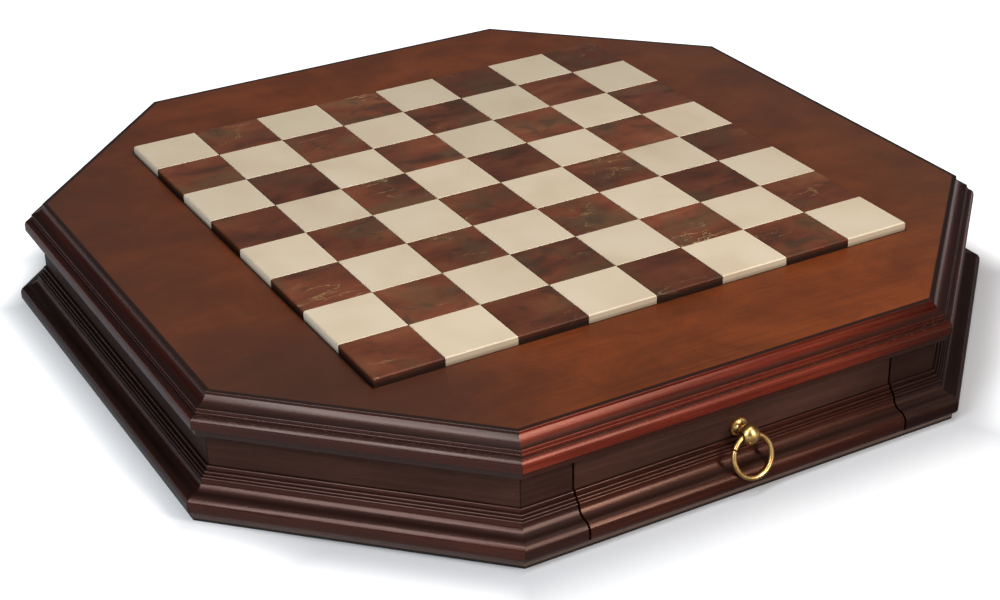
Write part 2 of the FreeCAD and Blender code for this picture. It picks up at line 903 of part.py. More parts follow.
pivot_reach = size("frieze_reach") + size("ball_standoff")
lean_across = pivot_reach - cove_reach
lean_drop = pull_height - band_high
lean_room = size("shoulder_round") + size("wire_radius") + size("ring_rest_gap")
lean_span = root(lean_across * lean_across + lean_drop * lean_drop)
ring_lean = angle_of_sine(lean_room / lean_span) - angle_of_tangent(lean_across, lean_drop)

loop = doc.addObject("Part::Torus", "ring_loop")
loop.setExpression("Radius1", "sizes.ring_radius")
loop.setExpression("Radius2", "sizes.wire_radius")
loop.Placement = FreeCAD.Placement(
    FreeCAD.Vector(0, 0, 0), FreeCAD.Rotation(FreeCAD.Vector(1, 0, 0), quarter_turn.number)
)
bind_place(loop, zero, zero, -size("ring_radius"))

# The wire's two ends meet at a narrow split on the left of the ball
split_sine = sine_of(size("split_angle"))
split_cosine = cosine_of(size("split_angle"))
split_turn = quarter_turn + size("split_angle")
split_span = (size("wire_radius") + size("ring_split")) * 2
split_start = size("ring_radius") - split_span * half
split_cut = doc.addObject("Part::Box", "ring_split_cut")
split_cut.setExpression("Length", split_span.formula)
split_cut.setExpression("Width", split_span.formula)
split_cut.setExpression("Height", "sizes.ring_split")
split_cut.Placement = FreeCAD.Placement(
    FreeCAD.Vector(0, 0, 0), FreeCAD.Rotation(FreeCAD.Vector(0, -1, 0), split_turn.number)
)
split_cut.setExpression("Placement.Rotation.Angle", split_turn.formula)
bind_place(
    split_cut,
    size("ring_split") * half * split_cosine - split_start * split_sine,
    split_span * -half,
    size("ring_split") * half * split_sine + split_start * split_cosine - size("ring_radius"),
)
ring = cut("split_ring", loop, split_cut)
ring.Placement = FreeCAD.Placement(
    FreeCAD.Vector(0, 0, 0), FreeCAD.Rotation(FreeCAD.Vector(-1, 0, 0), ring_lean.number)
)
ring.setExpression("Placement.Rotation.Angle", ring_lean.formula)
bind_place(ring, zero, front_face - size("ball_standoff"), pull_height)
hand_in("pull_ring", ring)

# Every object has to be sound before anything is written

doc.recompute()
for item in doc.Objects:
    if "Invalid" in item.State or "Error" in item.State:
        raise RuntimeError(f"{item.Name} failed to build")
for node_name, part in nodes.items():
    if part.Shape.isNull() or not part.Shape.isValid():
        raise RuntimeError(f"{node_name} has no valid shape")
for node_name, part in nodes.items():
    part.Shape.exportStep(f"parts/{node_name}.step")
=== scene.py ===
import math

import bmesh
import bpy
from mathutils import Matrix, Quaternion, Vector


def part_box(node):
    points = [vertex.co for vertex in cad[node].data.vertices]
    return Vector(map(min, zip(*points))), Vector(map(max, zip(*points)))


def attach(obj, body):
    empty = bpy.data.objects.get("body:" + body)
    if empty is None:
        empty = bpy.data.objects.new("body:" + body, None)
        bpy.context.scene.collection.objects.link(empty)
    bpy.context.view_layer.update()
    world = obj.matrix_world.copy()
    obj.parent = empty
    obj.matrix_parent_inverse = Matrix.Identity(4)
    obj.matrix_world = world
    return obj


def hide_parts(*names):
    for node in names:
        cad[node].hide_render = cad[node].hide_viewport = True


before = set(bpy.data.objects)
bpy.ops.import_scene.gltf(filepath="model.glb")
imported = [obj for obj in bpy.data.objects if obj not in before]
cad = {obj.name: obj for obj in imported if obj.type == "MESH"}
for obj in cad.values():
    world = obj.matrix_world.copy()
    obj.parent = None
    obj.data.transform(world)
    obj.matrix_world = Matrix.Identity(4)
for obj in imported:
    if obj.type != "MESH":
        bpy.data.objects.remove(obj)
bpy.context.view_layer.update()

# Bottom panel: a thin octagonal plywood board, stained brown and left dull. It is set in a little
# under the base moulding. Its edge shows, with a dark line of painted shadow where it meets the
# table.


def set_inputs(tree, node, values):
    """Each input takes a plain value, or another node's output to be joined to it."""
    for key, value in values.items():
        if isinstance(value, bpy.types.NodeSocket):
            tree.links.new(value, node.inputs[key])
        else:
            node.inputs[key].default_value = value


def add(tree, kind, inputs=None, **settings):
    made = tree.nodes.new(kind)
    for name, value in settings.items():
        setattr(made, name, value)
    set_inputs(tree, made, inputs or {})
    return made


def sums(tree, operation, first, second=0.0):
    return add(tree, "ShaderNodeMath", {0: first, 1: second}, operation=operation).outputs[0]


def mixture(tree, first, share, second):
    """The first value by its share, and the second by what is left of one."""
    return sums(tree, "ADD", sums(tree, "MULTIPLY", first, share),
                sums(tree, "MULTIPLY", second, 1.0 - share))


def fade(tree, value, start, end, low=0.0, high=1.0):
    """Runs smoothly from low to high while the value goes from start to end."""
    limits = {"Value": value, "From Min": start, "From Max": end, "To Min": low, "To Max": high}
    return add(tree, "ShaderNodeMapRange", limits, interpolation_type="SMOOTHSTEP").outputs[0]


def noise(tree, vector, scale, detail=2.0, roughness=0.5, distortion=0.0):
    inputs = {"Vector": vector, "Scale": scale, "Detail": detail}
    inputs.update({"Roughness": roughness, "Distortion": distortion})
    return add(tree, "ShaderNodeTexNoise", inputs).outputs["Fac"]


def stretch(tree, vector, along, across=1.0):
    factors = {0: vector, 1: (along, across, across)}
    return add(tree, "ShaderNodeVectorMath", factors, operation="MULTIPLY").outputs[0]


def blend(tree, share, under, over, mode="MIX"):
    """Lays one colour over another. The share, the under and the over may be values or outputs."""
    colours = {0: share, 6: under, 7: over}
    return add(tree, "ShaderNodeMix", colours, data_type="RGBA", blend_type=mode).outputs[2]


def ramp(tree, value, stops):
    made = add(tree, "ShaderNodeValToRGB", {0: value})
    marks = made.color_ramp.elements
    while len(marks) < len(stops):
        marks.new(1.0)
    for mark, (place, colour) in zip(marks, stops):
        mark.position = place
        mark.color = (*colour, 1.0)
    return made.outputs["Color"]


def bump(tree, height, strength, depth):
    inputs = {"Height": height, "Strength": strength, "Distance": depth}
    return add(tree, "ShaderNodeBump", inputs).outputs["Normal"]


def here(tree):
    return add(tree, "ShaderNodeTexCoord").outputs["Object"]


def axes(tree, vector):
    return add(tree, "ShaderNodeSeparateXYZ", {0: vector}).outputs


def new_group(name, inputs, outputs):
    """A shader group with vectors in and plain numbers out."""
    group = bpy.data.node_groups.new(name, "ShaderNodeTree")
    for label in inputs:
        group.interface.new_socket(name=label, in_out="INPUT", socket_type="NodeSocketVector")
    for label in outputs:
        group.interface.new_socket(name=label, in_out="OUTPUT", socket_type="NodeSocketFloat")
    return group, group.nodes.new("NodeGroupInput"), group.nodes.new("NodeGroupOutput")


def grain_group():
    """Wood with its grain along X: broad figure, fine streaks, open pores and lacquer ripple."""
    group, given, result = new_group(
        "wood_grain", ["Vector"], ["Figure", "Streaks", "Pores", "Ripple"]
    )
    vector = given.outputs["Vector"]
    figure = noise(group, stretch(group, vector, along=0.35), scale=26.0, detail=3.0,
                   roughness=0.55, distortion=0.6)
    streaks = noise(group, stretch(group, vector, along=0.035), scale=520.0, detail=4.0,
                    roughness=0.62)
    pores = noise(group, stretch(group, vector, along=0.09), scale=1500.0)
    ripple = noise(group, stretch(group, vector, along=0.6), scale=700.0)
    group.links.new(figure, result.inputs["Figure"])
    group.links.new(streaks, result.inputs["Streaks"])
    group.links.new(fade(group, pores, 0.6, 0.72), result.inputs["Pores"])
    group.links.new(ripple, result.inputs["Ripple"])
    return group


wood_grain = grain_group()


def grain_at(tree, turn):
    """The wood grain, turned so that it runs at that angle from X."""
    turned = add(tree, "ShaderNodeMapping", {"Vector": here(tree), "Rotation": (0.0, 0.0, -turn)})
    vector = turned.outputs["Vector"]
    return add(tree, "ShaderNodeGroup", {"Vector": vector}, node_tree=wood_grain).outputs


def shader_of(material):
    return material.node_tree, material.node_tree.nodes["Principled BSDF"]


def colour_of(shader):
    """The colour that a finished material has so far, to lay more over it."""
    return shader.inputs["Base Color"].links[0].from_socket


def new_material(name):
    material = bpy.data.materials.new(name)
    material.use_nodes = True
    return material, *shader_of(material)


def sawn_wood(name, turn, dark, pale, roughness):
    """Bare or stained wood without lacquer: planed smooth, with its pores open."""
    material, tree, shader = new_material(name)
    grain = grain_at(tree, turn)
    mixed = mixture(tree, grain["Figure"], 0.55, grain["Streaks"])
    colour = ramp(tree, mixed, [(0.3, dark), (0.7, pale)])
    pore_colour = tuple(0.45 * part for part in dark)
    colour = blend(tree, sums(tree, "MULTIPLY", grain["Pores"], 0.5), colour, (*pore_colour, 1.0))
    set_inputs(tree, shader, {
        "Base Color": colour,
        "Roughness": fade(tree, grain["Streaks"], 0.3, 0.7, roughness, roughness + 0.12),
        "Specular IOR Level": 0.3,
        "Normal": bump(tree, grain["Streaks"], 0.25, 0.0003),
    })
    return material


def finish_node(node, material):
    cad[node].data.materials.clear()
    cad[node].data.materials.append(material)


plywood_dark, plywood_pale = (0.085, 0.052, 0.042), (0.140, 0.088, 0.072)
plywood_roughness = 0.6
contact_shade_full, contact_shade_end = 0.0009, 0.0018
stained_plywood = sawn_wood("stained_plywood", 0.0, plywood_dark, plywood_pale, plywood_roughness)
tree, shader = shader_of(stained_plywood)
# Painted shadow: the lowest millimetres of the panel's edge are darkened almost to black where it
# meets the table.
contact_shade = fade(tree, axes(tree, here(tree))["Z"], contact_shade_full, contact_shade_end, 0.92, 0.0)
contact_shaded_edge = blend(tree, contact_shade, colour_of(shader), (0.006, 0.004, 0.003, 1.0))
set_inputs(tree, shader, {"Base Color": contact_shaded_edge})
finish_node("bottom_panel", stained_plywood)

# Bottom screws: twelve slotted steel wood screws, sunk just below the underside of the panel.
# They hold it up against the walls. The steel is turned, dull and slightly dirty in the slots.

screw_steel, tree, shader = new_material("screw_steel")
dirt = noise(tree, here(tree), scale=900.0, detail=3.0, roughness=0.6)
set_inputs(tree, shader, {
    "Base Color": ramp(tree, dirt, [(0.35, (0.20, 0.18, 0.16)), (0.65, (0.52, 0.50, 0.47))]),
    "Metallic": 1.0,
    "Roughness": fade(tree, dirt, 0.35, 0.65, 0.5, 0.28),
})
finish_node("bottom_screws", screw_steel)

# Walls, stiles and front rail: mahogany boards on edge, mitred at the corners of the octagon.
# They are stained dark, wear a satin lacquer, and show as the plain frieze between the mouldings.

panel_low, panel_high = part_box("top_panel")
top_half_width = panel_high[0]
top_half_diagonal = max(
    (corner.co.x + corner.co.y) for corner in cad["top_panel"].data.vertices) * math.sqrt(0.5)
side_half_length = top_half_diagonal * math.sqrt(2.0) - top_half_width
mitre_angle = math.radians(22.5)


def edge_group():
    """How far a point lies outside the edge of the top, and how far from the nearest mitre."""
    group, given, result = new_group("case_edges", ["Vector"], ["Reach", "Mitre"])
    parts = axes(group, given.outputs["Vector"])
    across = sums(group, "ABSOLUTE", parts["X"])
    deep = sums(group, "ABSOLUTE", parts["Y"])
    longer = sums(group, "MAXIMUM", across, deep)
    shorter = sums(group, "MINIMUM", across, deep)
    past_side = sums(group, "SUBTRACT", longer, top_half_width)
    slanted = sums(group, "MULTIPLY", sums(group, "ADD", longer, shorter), math.sqrt(0.5))
    past_diagonal = sums(group, "SUBTRACT", slanted, top_half_diagonal)
    group.links.new(sums(group, "MAXIMUM", past_side, past_diagonal), result.inputs["Reach"])
    along = sums(group, "SUBTRACT", shorter, side_half_length)
    off_mitre = sums(group, "SUBTRACT", sums(group, "MULTIPLY", along, math.cos(mitre_angle)),
                     sums(group, "MULTIPLY", past_side, math.sin(mitre_angle)))
    group.links.new(sums(group, "ABSOLUTE", off_mitre), result.inputs["Mitre"])
    return group


case_edges = edge_group()


def edges_at(tree, vector):
    return add(tree, "ShaderNodeGroup", {"Vector": vector}, node_tree=case_edges).outputs


def facing(tree):
    """Which way the surface faces, along X, Y and Z."""
    return axes(tree, add(tree, "ShaderNodeNewGeometry").outputs["Normal"])


def lacquered_mahogany(name, turn, tones, gloss, shine, sheen, mitred=True, ledge_shade=0.0, far_end_shade=1.0):
    """Stained mahogany under tinted lacquer. The tones run from its dark streaks to its pale ones.
    Ledges that face upwards are painted darker as shade and left duller, and the far end along X
    may be painted darker as shade."""
    material, tree, shader = new_material(name)
    grain = grain_at(tree, turn)
    mixed = mixture(tree, grain["Figure"], 0.6, grain["Streaks"])
    colour = ramp(tree, mixed, list(zip((0.30, 0.5, 0.70), tones)))
    pore_colour = tuple(0.35 * part for part in tones[0])
    colour = blend(tree, sums(tree, "MULTIPLY", grain["Pores"], 0.3), colour, (*pore_colour, 1.0))
    place = here(tree)
    edges = edges_at(tree, place)
    glue_line = fade(tree, sums(tree, "ABSOLUTE", edges["Reach"]), 0.0002, 0.0007, 1.0, 0.0)
    if mitred:
        mitre_line = fade(tree, edges["Mitre"], 0.0001, 0.0004, 1.0, 0.0)
        glue_line = sums(tree, "MAXIMUM", glue_line, mitre_line)
    glue_line = sums(tree, "MULTIPLY", glue_line, 0.85)
    colour = blend(tree, glue_line, colour, (0.006, 0.003, 0.002, 1.0))
    # Painted shade: the far end along X is darkened, as if less lamp light reached it.
    end_shade_share = fade(tree, axes(tree, place)["X"], 0.01, 0.13, 1.0, far_end_shade)
    colour = blend(tree, 1.0, colour, end_shade_share, "MULTIPLY")
    # Painted shade: surfaces that face upwards are darkened, and made rougher, by how far they face
    # up.
    upward_shade = fade(tree, facing(tree)["Z"], 0.70, 0.97, 0.0, ledge_shade)
    colour = blend(tree, upward_shade, colour, (0.010, 0.004, 0.003, 1.0))
    dip = sums(tree, "ADD", sums(tree, "MULTIPLY", grain["Pores"], -0.6), grain["Ripple"])
    polish = fade(tree, grain["Streaks"], 0.3, 0.7, gloss, gloss + 0.1)
    set_inputs(tree, shader, {
        "Base Color": colour,
        "Roughness": sums(tree, "ADD", polish, sums(tree, "MULTIPLY", upward_shade, 0.25)),
        "Specular IOR Level": shine,
        "Specular Tint": (*sheen, 1.0),
        "Normal": bump(tree, dip, 0.10, 0.0002),
    })
    return material


side_angles = {
    "right": 0.0, "back_right": 45.0, "back": 90.0, "back_left": 135.0,
    "left": 180.0, "front_left": 225.0, "front": 270.0, "front_right": 315.0,
}


def along_side(side):
    return math.radians((side_angles[side] + 90.0) % 180.0)


def toned(tones, depth):
    """The same tones scaled darker or lighter, for staining and for painted shade."""
    return [tuple(depth * part for part in tone) for tone in tones]


frieze_tones = ((0.022, 0.010, 0.008), (0.044, 0.019, 0.014), (0.068, 0.030, 0.021))
# A depth for each side. The left and front-right sides are painted darker as shade, where less lamp
# light falls; the other values set the staining.
frieze_stain_and_shade = {"front": 1.25, "front_left": 1.05, "left": 0.5, "front_right": 0.4}
plain_frieze_depth = 0.8
frieze_gloss, frieze_shine = 0.38, 0.10
satin_sheen = (1.0, 0.68, 0.58)
frieze = {}
for side in side_angles:
    tones = toned(frieze_tones, frieze_stain_and_shade.get(side, plain_frieze_depth))
    far_end_shade = 0.45 if side == "front" else 1.0
    frieze[side] = lacquered_mahogany(f"frieze_{side}", along_side(side), tones, frieze_gloss,
                                      frieze_shine, satin_sheen, far_end_shade=far_end_shade)
    if side != "front":
        finish_node(f"wall_{side}", frieze[side])
stile_sheen = (1.0, 0.72, 0.68)
stile_wood = lacquered_mahogany("stile", along_side("front"),
                                toned(frieze_tones, plain_frieze_depth), frieze_gloss,
                                frieze_shine, stile_sheen, far_end_shade=0.5)
for node in ("front_stile_left", "front_stile_right", "front_rail"):
    finish_node(node, stile_wood)

# Corner blocks, drawer guides and stops: short lengths of planed pine, glued inside the case.
# They are left bare. The guides keep the drawer straight and the stops halt it at the back.

pine_dark, pine_pale = (0.30, 0.17, 0.075), (0.52, 0.34, 0.17)
pine_roughness = 0.55
pine_across = sawn_wood("pine_across", 0.0, pine_dark, pine_pale, pine_roughness)
pine_deep = sawn_wood("pine_deep", math.radians(90.0), pine_dark, pine_pale, pine_roughness)
for node in ("corner_blocks", "drawer_stops"):
    finish_node(node, pine_across)
for node in ("drawer_guide_left", "drawer_guide_right"):
    finish_node(node, pine_deep)

# Base moulding: mitred strips at the foot of the walls. Four small lips step down to a cove, a
# round shoulder and a plain band. Dark red mahogany under glossy lacquer, glued to the walls and
# cut through at both ends of the drawer.

base_tones = ((0.015, 0.003, 0.002), (0.033, 0.006, 0.003), (0.054, 0.012, 0.006))
# A depth for each side. The left and front-right strips are painted darker as shade, where less
# lamp light falls; the other values set the staining.
base_stain_and_shade = {"front": 0.9, "front_left": 0.95, "left": 0.5, "front_right": 0.3}
base_shine = {"left": 0.22, "front_right": 0.12}
base_ledge_shade = 0.85
moulding_gloss, moulding_shine = 0.20, 0.42
base_wood = {}
for side in side_angles:
    tones = toned(base_tones, base_stain_and_shade.get(side, 0.7))
    far_end_shade = 0.55 if side == "front" else 1.0
    sheen = (1.0, 0.58, 0.46) if side == "front" else (1.0, 0.65, 0.58)
    base_wood[side] = lacquered_mahogany(
        f"base_{side}", along_side(side), tones, moulding_gloss,
        base_shine.get(side, moulding_shine), sheen, ledge_shade=base_ledge_shade, far_end_shade=far_end_shade)
    if side != "front":
        finish_node(f"base_moulding_{side}", base_wood[side])
short_gloss, short_shine, short_sheen = 0.26, 0.32, (1.0, 0.70, 0.62)
short_wood = lacquered_mahogany(
    "base_beside_drawer", along_side("front"), toned(base_tones, 0.6), short_gloss,
    short_shine, short_sheen, ledge_shade=base_ledge_shade, far_end_shade=0.4)
for node in ("base_moulding_left_of_drawer", "base_moulding_right_of_drawer"):
    finish_node(node, short_wood)

# Top panel: an octagonal board faced with mahogany veneer, recessed for the marble and glued to the
# walls. The veneer is an orange brown under a satin lacquer, mottled, darker towards the right end
# and in a patch by the front left side. Towards the left it is painted darker as shade, and a thin
# painted shadow lines the edge of the marble board.

veneer_tones = ((0.100, 0.024, 0.007), (0.160, 0.036, 0.009), (0.210, 0.050, 0.013))
veneer_gloss, veneer_shine = 0.36, 0.2
veneer = lacquered_mahogany("veneer", 0.0, veneer_tones, veneer_gloss, veneer_shine,
                            satin_sheen, mitred=False)
tree, shader = shader_of(veneer)
place = here(tree)
spot = axes(tree, place)
blotches = noise(tree, place, scale=34.0, detail=5.0, roughness=0.62, distortion=0.5)
mottle = fade(tree, blotches, 0.32, 0.68, 0.82, 1.14)
leaf = blend(tree, 1.0, colour_of(shader), mottle, "MULTIPLY")
# Painted shade: the veneer darkens towards the left, where less lamp light falls.
left_painted_shade = fade(tree, spot["X"], -0.24, -0.06, 0.6, 0.0)
leaf = blend(tree, left_painted_shade, leaf, (0.055, 0.024, 0.016, 1.0))
right_share = fade(tree, spot["X"], 0.10, 0.23, 0.0, 0.5)
leaf = blend(tree, right_share, leaf, (0.070, 0.036, 0.022, 1.0))
dull_corner = (-0.17, -0.17, panel_high[2])
from_corner = add(tree, "ShaderNodeVectorMath", {0: place, 1: dull_corner},
                  operation="DISTANCE").outputs["Value"]
corner_share = fade(tree, from_corner, 0.03, 0.13, 0.7, 0.0)
leaf = blend(tree, corner_share, leaf, (0.045, 0.020, 0.014, 1.0))
board_low, board_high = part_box("dark_squares")
board_half = board_high[0]
farther = sums(tree, "MAXIMUM", sums(tree, "ABSOLUTE", spot["X"]),
               sums(tree, "ABSOLUTE", spot["Y"]))
past_board = sums(tree, "SUBTRACT", farther, board_half)
board_shade = fade(tree, past_board, 0.0005, 0.0018, 0.9, 0.0)
leaf = blend(tree, board_shade, leaf, (0.005, 0.003, 0.002, 1.0))
set_inputs(tree, shader, {"Base Color": leaf})
finish_node("top_panel", veneer)

# Top moulding: eight mitred strips of lacquered mahogany, glued round the edge of the top. A
# shallow hollow and two lips lead down to the nose, with a bed strip under it. The front strip is
# the reddest, and is worn in flecks.

edge_tones = ((0.050, 0.006, 0.003), (0.120, 0.013, 0.005), (0.185, 0.026, 0.009))
# A depth for each strip. The left and front-right strips are painted darker as shade, where less
# lamp light falls; the front-left strip is darker partly from its own staining and partly as
# painted shade.
edge_stain_and_shade = {"front": 1.0, "front_left": 0.25, "left": 0.30, "front_right": 0.25}
edge_shine = {"left": 0.28, "front_right": 0.2}
edge_ledge_shade = 0.9
nose_foot = panel_low[2]
worn_reach = 0.0100


def worn_edges(material, wear):
    """Flecks of worn lacquer along the lips and the nose, and the bed strip under the nose painted
    darker as shade.
    """
    tree, shader = shader_of(material)
    place = here(tree)
    off_lips = sums(tree, "SUBTRACT", edges_at(tree, place)["Reach"], worn_reach)
    at_lips = fade(tree, sums(tree, "ABSOLUTE", off_lips), 0.0014, 0.0022, 1.0, 0.0)
    rubs = noise(tree, place, scale=1300.0, detail=3.0, roughness=0.7)
    flecks = sums(tree, "MULTIPLY", at_lips, fade(tree, rubs, 0.56, 0.70, 0.0, wear))
    worn = blend(tree, flecks, colour_of(shader), (0.17, 0.080, 0.055, 1.0))
    height = axes(tree, place)["Z"]
    # Painted shade: the bed strip under the overhanging nose is darkened.
    bed = fade(tree, height, nose_foot - 0.0001, nose_foot + 0.0003, 0.85, 0.0)
    set_inputs(tree, shader, {"Base Color": blend(tree, bed, worn, (0.018, 0.009, 0.007, 1.0))})
    return material


for side in side_angles:
    tones = toned(edge_tones, edge_stain_and_shade.get(side, 0.5))
    far_end_shade = 0.2 if side == "front" else 1.0
    sheen = (1.0, 0.46, 0.36) if side == "front" else (1.0, 0.78, 0.70)
    edge_wood = lacquered_mahogany(
        f"edge_{side}", along_side(side), tones, moulding_gloss,
        edge_shine.get(side, moulding_shine), sheen, ledge_shade=edge_ledge_shade, far_end_shade=far_end_shade)
    wear = 0.7 if side in ("front", "front_left") else 0.3
    finish_node(f"top_moulding_{side}", worn_edges(edge_wood, wear))

# Marble board: 64 honed tiles bedded in the recess, with hairline joints and eased edges. The
# dark ones are red-brown marble, the light ones cream alabaster. The board's rim is bevelled.

squares_per_side = 8
square_side = 0.040
tile_joint = 0.0002
tile_ease = 0.00025
rim_bevel = 0.0006
merge_gap = 0.00001
most_tilt = math.radians(0.06)
tile_settle = square_side * math.sin(most_tilt)
stone_spread = 3.0


def close_below(shape, level):
    """Draws the open rim of a shape down to a level and closes it there."""
    rim = [edge for edge in shape.edges if edge.is_boundary]
    for corner in bmesh.ops.extrude_edge_only(shape, edges=rim)["geom"]:
        if isinstance(corner, bmesh.types.BMVert):
            corner.co.z = level
    bmesh.ops.edgeloop_fill(shape, edges=[edge for edge in shape.edges if edge.is_boundary])
    bmesh.ops.recalc_face_normals(shape, faces=shape.faces)


def mesh_from(shape, name):
    mesh = bpy.data.meshes.new(name)
    shape.to_mesh(mesh)
    shape.free()
    return mesh


def put_in_scene(name, data):
    made = bpy.data.objects.new(name, data)
    bpy.context.scene.collection.objects.link(made)
    return made


def sawn_tile(name):
    """One tile with its upper face at zero: eased edges, and lines where the rim is trimmed."""
    half = (square_side - tile_joint) / 2.0
    rim_line = board_half - square_side * (squares_per_side - 1) / 2.0
    marks = [rim_line - rim_bevel, rim_line, half - tile_ease, half]
    lines = [-mark for mark in reversed(marks)] + marks
    shape = bmesh.new()
    rows = []
    for across in lines:
        row = []
        for deep in lines:
            level = -tile_ease if half in (abs(across), abs(deep)) else 0.0
            row.append(shape.verts.new((across, deep, level)))
        rows.append(row)
    for first, second in zip(rows, rows[1:]):
        for index in range(len(lines) - 1):
            shape.faces.new((first[index], second[index], second[index + 1], first[index + 1]))
    close_below(shape, board_low[2] - board_high[2])
    return mesh_from(shape, name)


def board_tree():
    """Sets the tile on every second square, cuts each from its own stone, and trims and bevels
    the rim."""
    tree = bpy.data.node_groups.new("laid_tiles", "GeometryNodeTree")
    sockets = [
        ("Tile", "NodeSocketGeometry"), ("Squares", "NodeSocketInt"), ("Odd", "NodeSocketInt"),
        ("Square Side", "NodeSocketFloat"), ("Level", "NodeSocketFloat"),
        ("Board Half", "NodeSocketFloat"), ("Bevel", "NodeSocketFloat"),
        ("Tilt", "NodeSocketFloat"), ("Stone", "NodeSocketMaterial"),
    ]
    for label, kind in sockets:
        tree.interface.new_socket(name=label, in_out="INPUT", socket_type=kind)
    tree.interface.new_socket(name="Board", in_out="OUTPUT", socket_type="NodeSocketGeometry")
    given = tree.nodes.new("NodeGroupInput").outputs
    count = given["Squares"]
    span = sums(tree, "MULTIPLY", given["Square Side"], sums(tree, "SUBTRACT", count, 1.0))
    grid = add(tree, "GeometryNodeMeshGrid", {
        "Size X": span, "Size Y": span, "Vertices X": count, "Vertices Y": count,
    }).outputs["Mesh"]
    lift = add(tree, "ShaderNodeCombineXYZ", {"Z": given["Level"]}).outputs[0]
    grid = add(tree, "GeometryNodeSetPosition", {"Geometry": grid, "Offset": lift}).outputs[0]
    index = tree.nodes.new("GeometryNodeInputIndex").outputs[0]
    column = sums(tree, "FLOOR", sums(tree, "DIVIDE", index, count))
    rank = sums(tree, "MODULO", index, count)
    parity = sums(tree, "MODULO", sums(tree, "ADD", column, rank), 2.0)
    chosen = sums(tree, "COMPARE", parity, given["Odd"])
    tilt = given["Tilt"]
    most = add(tree, "ShaderNodeCombineXYZ", {"X": tilt, "Y": tilt}).outputs[0]
    least = add(tree, "ShaderNodeVectorMath", {0: most, 1: (-1.0, -1.0, -1.0)},
                operation="MULTIPLY").outputs[0]
    turn = add(tree, "FunctionNodeRandomValue", {0: least, 1: most, "Seed": 3},
               data_type="FLOAT_VECTOR").outputs[0]
    laid = add(tree, "GeometryNodeInstanceOnPoints", {
        "Points": grid, "Selection": chosen, "Instance": given["Tile"], "Rotation": turn,
    }).outputs[0]
    block = add(tree, "FunctionNodeRandomValue", {0: (0.0,) * 3, 1: (1.0,) * 3, "Seed": 11},
                data_type="FLOAT_VECTOR").outputs[0]
    laid = add(tree, "GeometryNodeStoreNamedAttribute", {
        "Geometry": laid, "Name": "stone_cut", "Value": block,
    }, data_type="FLOAT_VECTOR", domain="INSTANCE").outputs[0]
    laid = add(tree, "GeometryNodeRealizeInstances", {"Geometry": laid}).outputs[0]
    place = axes(tree, tree.nodes.new("GeometryNodeInputPosition").outputs[0])
    rim = given["Board Half"]
    low_rim = sums(tree, "MULTIPLY", rim, -1.0)
    trimmed = add(tree, "ShaderNodeCombineXYZ", {
        "X": sums(tree, "MAXIMUM", sums(tree, "MINIMUM", place["X"], rim), low_rim),
        "Y": sums(tree, "MAXIMUM", sums(tree, "MINIMUM", place["Y"], rim), low_rim),
        "Z": place["Z"],
    }).outputs[0]
    laid = add(tree, "GeometryNodeSetPosition", {"Geometry": laid, "Position": trimmed}).outputs[0]
    farther = sums(tree, "MAXIMUM", sums(tree, "ABSOLUTE", place["X"]),
                   sums(tree, "ABSOLUTE", place["Y"]))
    to_rim = sums(tree, "SUBTRACT", rim, farther)
    drop = sums(tree, "MAXIMUM", sums(tree, "SUBTRACT", given["Bevel"], to_rim), 0.0)
    upper = sums(tree, "GREATER_THAN", place["Z"],
                 sums(tree, "SUBTRACT", given["Level"], given["Bevel"]))
    lower = sums(tree, "MULTIPLY", sums(tree, "MULTIPLY", drop, upper), -1.0)
    move = add(tree, "ShaderNodeCombineXYZ", {"Z": lower}).outputs[0]
    laid = add(tree, "GeometryNodeSetPosition", {"Geometry": laid, "Offset": move}).outputs[0]
    laid = add(tree, "GeometryNodeMergeByDistance",
               {"Geometry": laid, "Distance": merge_gap}).outputs[0]
    laid = add(tree, "GeometryNodeSetMaterial",
               {"Geometry": laid, "Material": given["Stone"]}).outputs[0]
    result = tree.nodes.new("NodeGroupOutput")
    tree.links.new(laid, result.inputs["Board"])
    return tree


laid_tiles = board_tree()


def lay_tiles(name, node, odd, stone):
    piece = put_in_scene(name, sawn_tile(name))
    layer = piece.modifiers.new("board", "NODES")
    layer.node_group = laid_tiles
    values = {
        "Squares": squares_per_side, "Odd": odd, "Square Side": square_side,
        "Level": board_high[2] - tile_settle, "Board Half": board_half, "Bevel": rim_bevel,
        "Tilt": most_tilt, "Stone": stone,
    }
    for socket in laid_tiles.interface.items_tree:
        if socket.in_out == "INPUT" and socket.name in values:
            layer[socket.identifier] = values[socket.name]
    bpy.context.view_layer.update()
    finished = piece.evaluated_get(bpy.context.evaluated_depsgraph_get())
    piece.data = bpy.data.meshes.new_from_object(finished)
    piece.modifiers.clear()
    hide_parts(node)
    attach(piece, "case")


def stone_place(tree):
    """Object coordinates, moved for each tile so that no two are cut from the same stone."""
    cut = add(tree, "ShaderNodeAttribute", attribute_name="stone_cut").outputs["Vector"]
    moved = add(tree, "ShaderNodeVectorMath", {0: cut, 1: (stone_spread,) * 3, 2: here(tree)},
                operation="MULTIPLY_ADD").outputs[0]
    return moved, axes(tree, cut)["X"]


def on_sides(tree, ways):
    """One on a tile's sides and none on its face."""
    return fade(tree, ways["Z"], 0.2, 0.6, 1.0, 0.0)


